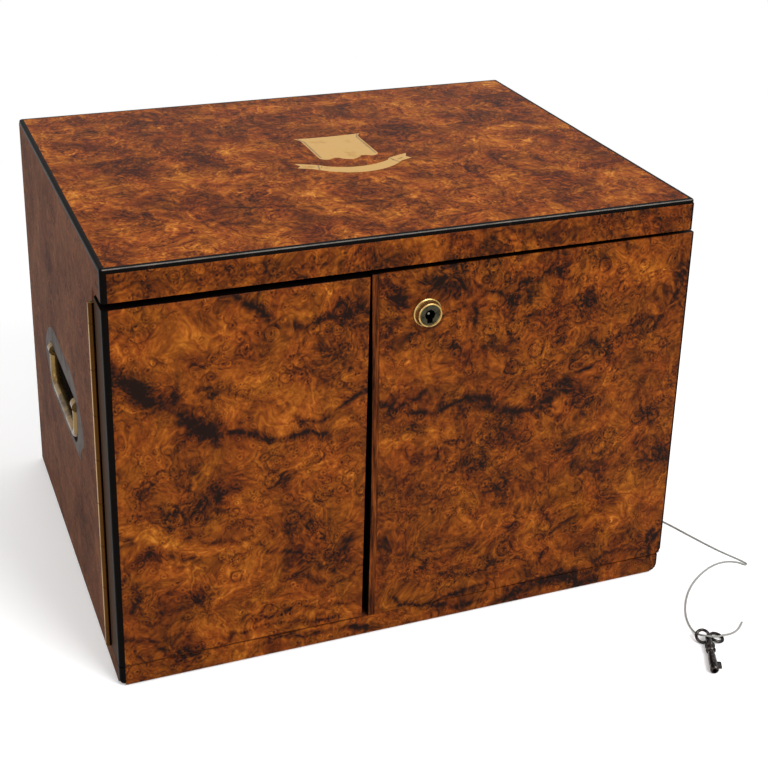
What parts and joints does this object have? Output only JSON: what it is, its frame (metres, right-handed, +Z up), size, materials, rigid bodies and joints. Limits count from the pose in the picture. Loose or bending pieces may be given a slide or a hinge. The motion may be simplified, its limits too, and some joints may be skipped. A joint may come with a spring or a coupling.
{
  "type": "tabletop cabinet",
  "caption": "Tabletop cabinet with unequal hinged doors in burr veneer, a bolt lock, flush carrying handles on its sides and a key tied on by a string.",
  "frame": {"origin": "centre of the cabinet's outer box, on the surface that it stands on", "axes": "+X to the viewer's right along the front, +Y from the doors to the back, +Z up"},
  "size_m": [0.4496, 0.4107, 0.2792],
  "materials": {
    "burr_walnut": "French-polished burr walnut veneer",
    "top_walnut": "French-polished burr walnut veneer",
    "side_walnut": "waxed straight-grained walnut veneer",
    "lipping_walnut": "French-polished walnut",
    "carcase_wood": "planed mahogany",
    "ebonised_wood": "ebonised and polished",
    "inlay_brass": "flat engraved-polished sheet",
    "hinge_brass": "rolled brass, worn bright",
    "lock_brass": "turned and polished",
    "handle_bronze": "dull bronze patina",
    "bail_bronze": "cast bronze, hand worn",
    "steel": "plain steel",
    "iron": "dark browned iron",
    "baize": "wool baize",
    "cotton": "twisted cotton string"
  },
  "bodies": {
    "cabinet": {"rail_veneer": "burr_walnut", "plinth_veneer": "burr_walnut", "top_veneer": "top_walnut", "side_veneer_left": "side_walnut", "side_veneer_right": "side_walnut", "base_board": "carcase_wood", "plinth_rail": "carcase_wood", "side_panel_left": "carcase_wood", "side_panel_right": "carcase_wood", "top_board": "carcase_wood", "top_rail": "carcase_wood", "back_panel": "carcase_wood", "divider": "carcase_wood", "shelf": "carcase_wood", "edge_moulding_front": "ebonised_wood", "edge_moulding_back": "ebonised_wood", "edge_moulding_left": "ebonised_wood", "edge_moulding_right": "ebonised_wood", "corner_beads_rail": "ebonised_wood", "corner_beads_plinth": "ebonised_wood", "shield_inlay": "inlay_brass", "ribbon_inlay": "inlay_brass", "hinge_leaf_case_left": "hinge_brass", "hinge_leaf_case_right": "hinge_brass", "hinge_screws_case": "hinge_brass", "striker_plate": "lock_brass", "handle_plate_left": "handle_bronze", "handle_plate_right": "handle_bronze", "handle_screws": "handle_bronze", "hinge_pin_left": "steel", "hinge_pin_right": "steel", "handle_pins": "steel", "key": "iron", "base_baize": "baize", "floor_linings": "baize", "key_string": "cotton", "string_hitch": "cotton"},
    "door_left": {"door_panel_left": "carcase_wood", "door_veneer_left": "burr_walnut", "door_lipping_left": "lipping_walnut", "door_bead_left": "ebonised_wood", "hinge_leaf_door_left": "hinge_brass", "hinge_screws_door_left": "hinge_brass", "flush_bolt_plates": "lock_brass"},
    "door_right": {"door_panel_right": "carcase_wood", "door_veneer_right": "burr_walnut", "door_lipping_right": "lipping_walnut", "door_bead_right": "ebonised_wood", "hinge_leaf_door_right": "hinge_brass", "hinge_screws_door_right": "hinge_brass", "lock_case": "iron", "lock_nozzle": "lock_brass", "lock_keyway": "steel", "lock_drill_pin": "steel", "lock_spring": "steel"},
    "lock_bolt": {"lock_bolt": "lock_brass"},
    "flush_bolt_top": {"flush_bolt_top": "lock_brass"},
    "flush_bolt_foot": {"flush_bolt_foot": "lock_brass"},
    "bail_left": {"bail_left": "bail_bronze"},
    "bail_right": {"bail_right": "bail_bronze"}
  },
  "joints": [
    {"name": "door_left_hinge", "type": "hinge", "parent": "cabinet", "child": "door_left", "pos_m": [-0.1912, -0.12075, 0.1325], "axis": [0, 0, -1], "range_deg": [0, 180]},
    {"name": "door_right_hinge", "type": "hinge", "parent": "cabinet", "child": "door_right", "pos_m": [0.1912, -0.12075, 0.1325], "axis": [0, 0, 1], "range_deg": [0, 180]},
    {"name": "lock_bolt_slide", "type": "slide", "parent": "door_right", "child": "lock_bolt", "axis": [0, 0, 1], "range_m": [0, 0.009]},
    {"name": "flush_bolt_top_slide", "type": "slide", "parent": "door_left", "child": "flush_bolt_top", "axis": [0, 0, 1], "range_m": [0, 0.009]},
    {"name": "flush_bolt_foot_slide", "type": "slide", "parent": "door_left", "child": "flush_bolt_foot", "axis": [0, 0, -1], "range_m": [0, 0.007]},
    {"name": "bail_left_pivot", "type": "hinge", "parent": "cabinet", "child": "bail_left", "pos_m": [-0.1885, 0.014, 0.138], "axis": [0, 1, 0], "range_deg": [0, 90]},
    {"name": "bail_right_pivot", "type": "hinge", "parent": "cabinet", "child": "bail_right", "pos_m": [0.1885, 0.014, 0.138], "axis": [0, -1, 0], "range_deg": [0, 90]}
  ]
}
